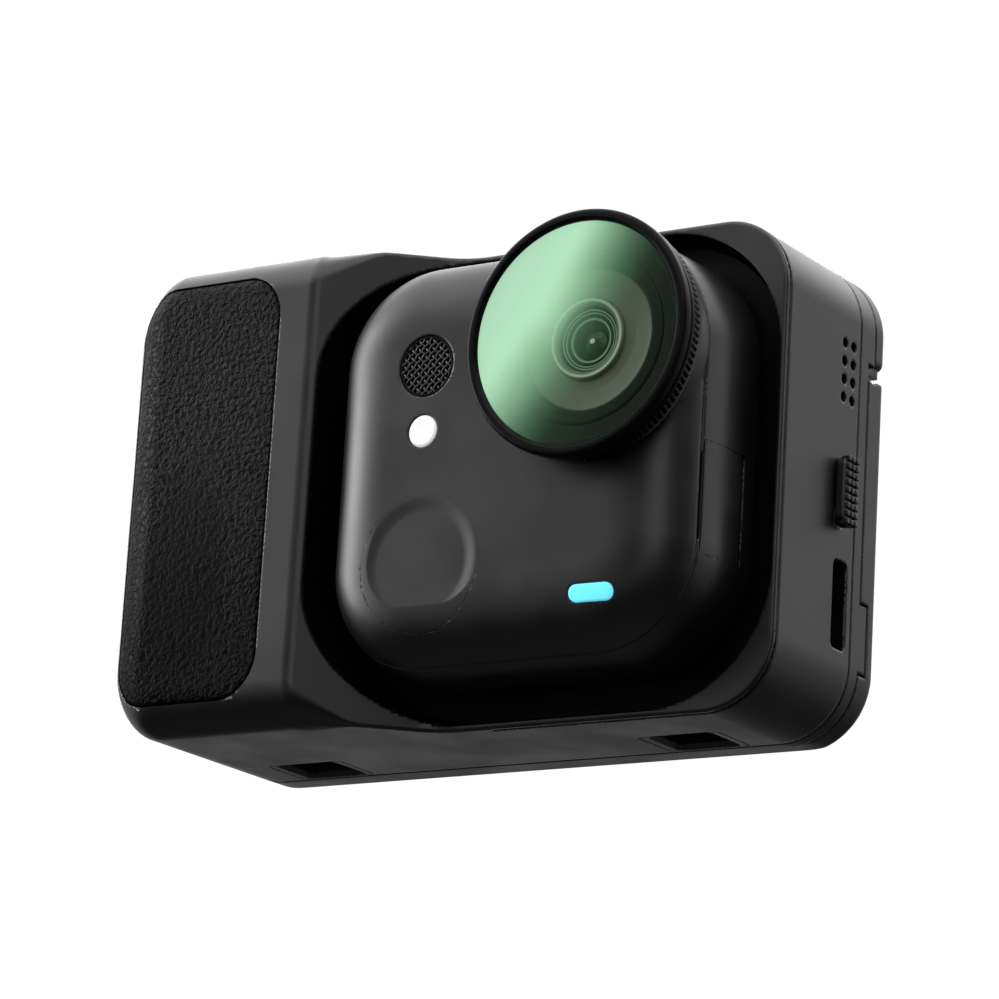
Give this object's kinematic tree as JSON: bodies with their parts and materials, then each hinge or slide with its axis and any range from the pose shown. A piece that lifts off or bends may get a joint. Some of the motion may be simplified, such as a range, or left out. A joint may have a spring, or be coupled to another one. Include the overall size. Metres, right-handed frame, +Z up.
{
  "type": "action camera",
  "caption": "Rounded square action camera with a screw-on filter, docked in a grip housing with a rear flip-up screen, top buttons and base mount sockets.",
  "frame": {"origin": "centre of the base face, midway between the two mount sockets", "axes": "+Z up, lens faces -Y, +X is the side with the speaker and the USB-C port"},
  "size_m": [0.0822, 0.0402, 0.0543],
  "materials": {
    "housing_black": "satin, fine moulded grain",
    "camera_black": "satin, smooth soft-touch",
    "shutter_black": "satin, smooth",
    "button_black": "satin",
    "grip_leather": "matte pebbled leather grain",
    "inner_black": "matte",
    "mesh_black": "matte woven mesh",
    "lens_black": "satin, anodised look",
    "ring_black": "satin black anodised, knurled",
    "filter_coating": "coated, green sheen",
    "lens_glass": "polished, coated",
    "screen_glass": "glossy black cover glass, opaque when off",
    "display_black": "glossy",
    "steel": "satin",
    "contact_gold": "plated",
    "board_green": "solder mask",
    "cell_grey": "pouch film",
    "sensor_dark": "glossy",
    "indicator_white": "translucent",
    "light_cyan": "lit, translucent"
  },
  "bodies": {
    "pod": {"pod_front_housing": "housing_black", "pod_rear_housing": "housing_black", "grip_pad": "grip_leather", "cradle_plate": "inner_black", "pogo_contacts": "contact_gold", "cradle_magnets": "steel", "mount_sockets": "inner_black", "mount_magnets": "steel", "pod_battery": "cell_grey", "pod_main_board": "board_green", "speaker_driver": "inner_black", "speaker_mesh": "mesh_black", "usb_c_socket": "steel", "usb_c_tongue": "inner_black", "hinge_block_left": "housing_black", "hinge_block_right": "housing_black", "hinge_pin": "steel", "housing_screws": "steel", "button_board": "board_green", "button_domes": "steel"},
    "screen": {"screen_frame": "housing_black", "screen_glass": "screen_glass", "display_panel": "display_black", "hinge_knuckle": "housing_black"},
    "record_button": {"record_button": "button_black"},
    "quick_button": {"quick_button": "button_black"},
    "release": {"release_slider": "button_black", "latch_bar": "steel"},
    "camera": {"camera_front_shell": "camera_black", "camera_rear_shell": "camera_black", "mic_mesh": "mesh_black", "camera_microphone": "inner_black", "indicator_lens": "indicator_white", "light_bar": "light_cyan", "lens_collar": "lens_black", "lens_barrel": "lens_black", "lens_front_element": "lens_glass", "lens_rear_element": "lens_glass", "image_sensor": "sensor_dark", "sensor_board": "board_green", "camera_main_board": "board_green", "camera_battery": "cell_grey", "camera_magnets": "steel", "camera_contacts": "contact_gold", "memory_card": "inner_black", "card_socket": "steel", "shutter_dome": "steel", "camera_screws": "steel", "door_pin": "steel"},
    "shutter": {"shutter_button": "shutter_black"},
    "card_door": {"card_door": "camera_black"},
    "filter": {"filter_ring": "ring_black", "filter_glass": "filter_coating", "filter_retaining_ring": "ring_black"}
  },
  "joints": [
    {"name": "screen_flip", "type": "hinge", "parent": "pod", "child": "screen", "pos_m": [0, 0.0087, 0.0473], "axis": [1, 0, 0], "range_deg": [0, 180]},
    {"name": "camera_undock", "type": "slide", "parent": "pod", "child": "camera", "axis": [0, -1, 0], "range_m": [0, 0.03]},
    {"name": "release_slide", "type": "slide", "parent": "pod", "child": "release", "axis": [0, 0, -1], "range_m": [0, 0.002], "stiffness_N_per_m": 400},
    {"name": "record_press", "type": "slide", "parent": "pod", "child": "record_button", "axis": [0, 0, -1], "range_m": [0, 0.0006], "stiffness_N_per_m": 2000},
    {"name": "quick_press", "type": "slide", "parent": "pod", "child": "quick_button", "axis": [0, 0, -1], "range_m": [0, 0.0006], "stiffness_N_per_m": 2000},
    {"name": "shutter_press", "type": "slide", "parent": "camera", "child": "shutter", "axis": [0, 1, 0], "range_m": [0, 0.0005], "stiffness_N_per_m": 2000},
    {"name": "card_door_swing", "type": "hinge", "parent": "camera", "child": "card_door", "pos_m": [0.036, -0.01385, 0.0206], "axis": [0, 0, 1], "range_deg": [0, 90]},
    {"name": "filter_turn", "type": "hinge", "parent": "camera", "child": "filter", "pos_m": [0.0254, -0.029, 0.0368], "axis": [0, -1, 0], "range_deg": [0, 360]}
  ]
}
